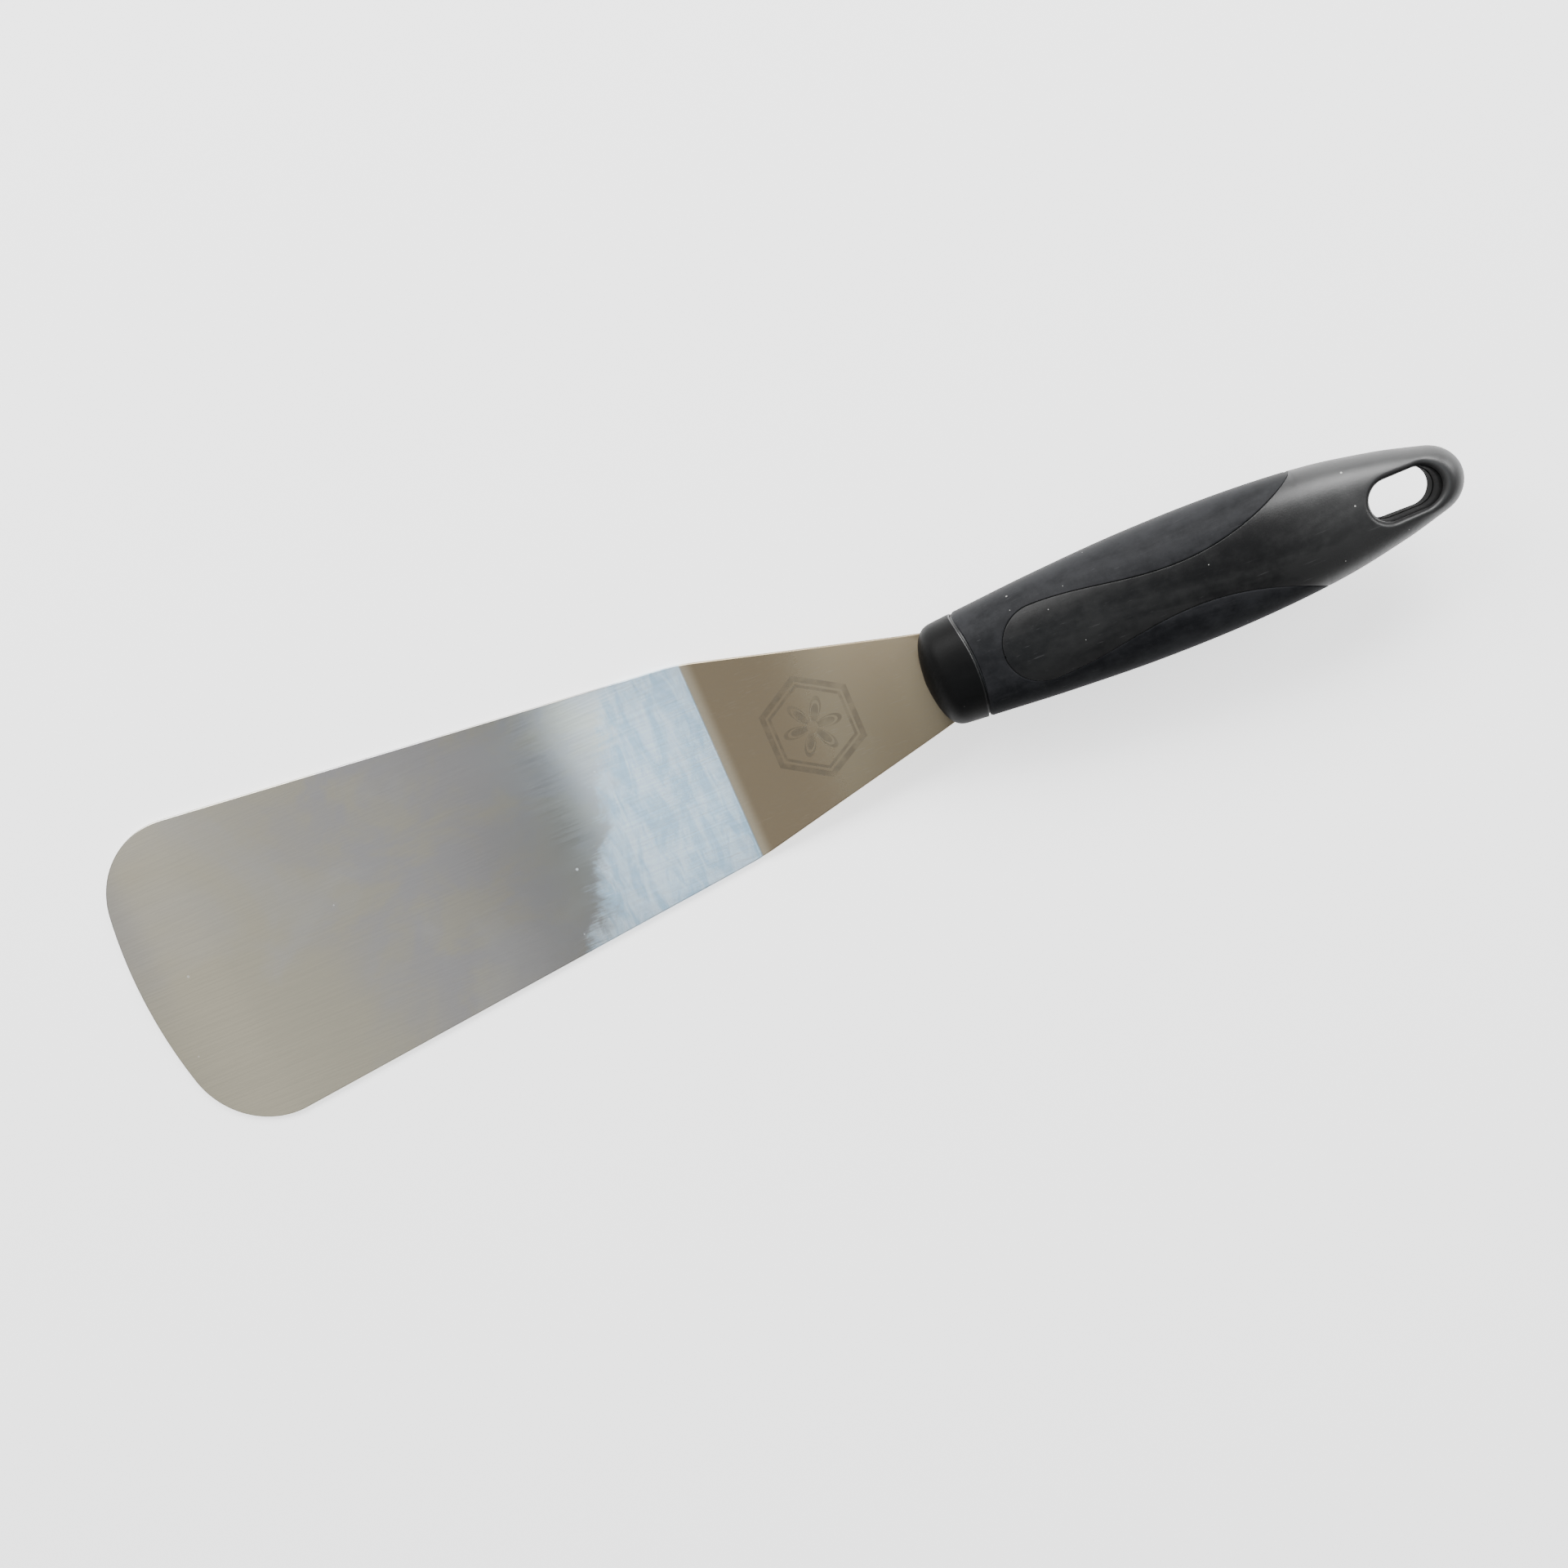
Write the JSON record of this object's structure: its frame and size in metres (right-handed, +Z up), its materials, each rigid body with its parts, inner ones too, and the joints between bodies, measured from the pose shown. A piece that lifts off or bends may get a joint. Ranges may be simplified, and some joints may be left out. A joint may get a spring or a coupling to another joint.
{
  "type": "palette knife",
  "caption": "Cranked palette knife: a broad flexible stainless blade with a rounded front, a sloping neck, and a soft-grip handle with a hang slot.",
  "frame": {"origin": "centre of the blade's flat underside", "axes": "+X along the tool towards the handle, +Y across the blade, +Z up, out of the blade's upper face"},
  "size_m": [0.3259, 0.0796, 0.0292],
  "materials": {
    "stainless": "satin, fine lengthwise grain",
    "collar_plastic": "moulded, satin",
    "core_plastic": "moulded, satin with fine grain",
    "soft_rubber": "matte soft-touch"
  },
  "bodies": {
    "root": {"blade": "stainless", "front_collar": "collar_plastic", "handle_core": "core_plastic", "soft_grip": "soft_rubber"}
  },
  "joints": []
}
